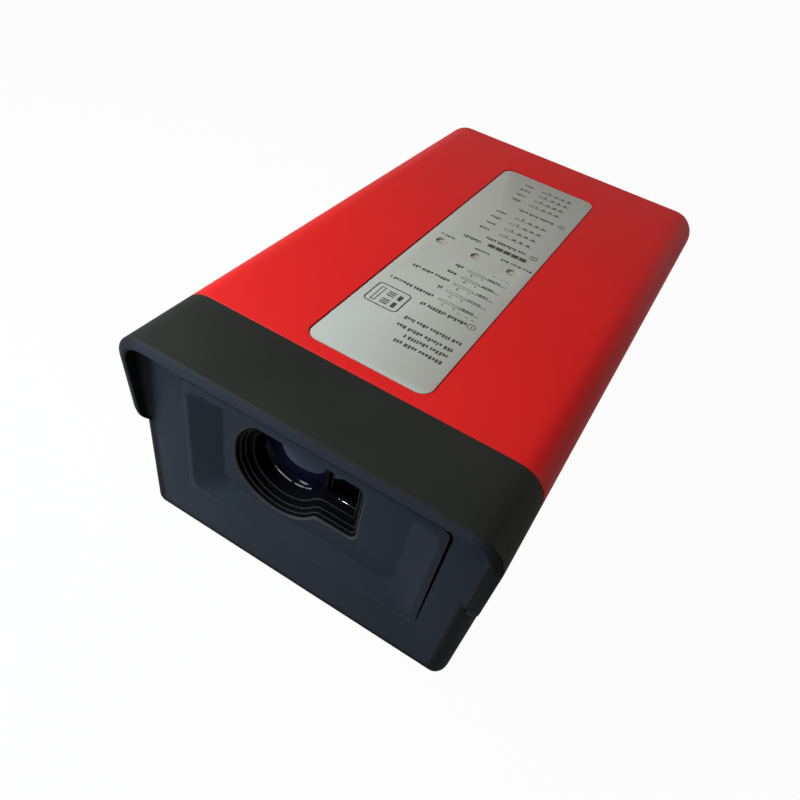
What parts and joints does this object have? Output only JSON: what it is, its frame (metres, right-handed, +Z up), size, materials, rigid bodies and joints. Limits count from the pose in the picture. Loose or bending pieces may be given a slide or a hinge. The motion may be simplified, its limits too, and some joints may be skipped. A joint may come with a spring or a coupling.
{
  "type": "laser displacement sensor",
  "caption": "Compact industrial laser distance sensor: painted box sleeve, black visored cap with a stepped keyhole optics well, label plate with indicator holes and round rear connectors.",
  "frame": {"origin": "middle of the box's base: on the underside of the sleeve, halfway between the visor's front edge and the connectors' tips", "axes": "+Y runs from the optics to the connectors, so the beam leaves along -Y; +X is to the right seen from the front; +Z is up, towards the label"},
  "size_m": [0.078, 0.153, 0.053],
  "materials": {
    "red_paint": "satin red paint with a fine orange-peel grain",
    "cap_black": "matte black fine-textured coating",
    "bezel_black": "matte blue-black",
    "seal_rubber": "matte",
    "coated_glass": "violet anti-reflection coating",
    "clear_glass": "polished",
    "filter_glass": "dark violet",
    "anodised_black": "black anodised",
    "cast_aluminium": "as cast",
    "screw_steel": "zinc plated",
    "bare_brass": "turned",
    "can_steel": "nickel plated",
    "board_green": "solder mask",
    "flex_amber": "polyimide film",
    "chip_black": "moulded",
    "led_white": "clear lens",
    "guide_clear": "clear moulding",
    "label_silver": null,
    "ribbon_grey": "flexible",
    "plated_metal": "satin nickel plate",
    "insert_black": "moulded",
    "contact_gold": "gold plated"
  },
  "bodies": {
    "root": {"housing_sleeve": "red_paint", "front_cap": "cap_black", "front_seal": "seal_rubber", "optics_bezel": "bezel_black", "bezel_seal": "seal_rubber", "receiver_lens": "coated_glass", "lens_retainer": "anodised_black", "laser_window": "clear_glass", "optics_chassis": "cast_aluminium", "chassis_screws": "screw_steel", "floor_screws": "screw_steel", "laser_barrel": "bare_brass", "collimator_lens": "clear_glass", "laser_diode": "can_steel", "receiver_filter": "filter_glass", "light_detector": "can_steel", "optics_board": "board_green", "optics_board_screws": "screw_steel", "optics_flex": "flex_amber", "main_board": "board_green", "main_board_chips": "chip_black", "status_leds": "led_white", "light_guide": "guide_clear", "label_plate": "label_silver", "network_board": "board_green", "network_chips": "chip_black", "board_standoffs": "bare_brass", "board_screws": "screw_steel", "ribbon_sockets": "chip_black", "ribbon_cable": "ribbon_grey", "board_header": "chip_black", "connector_board": "board_green", "rear_cover": "cap_black", "rear_seal": "seal_rubber", "rear_screws": "screw_steel", "power_inlet_shell": "plated_metal", "power_inlet_insert": "insert_black", "power_inlet_pins": "contact_gold", "network_port_shells": "plated_metal", "network_port_inserts": "insert_black", "network_port_contacts": "contact_gold", "connector_seals": "seal_rubber", "connector_nuts": "plated_metal"}
  },
  "joints": []
}
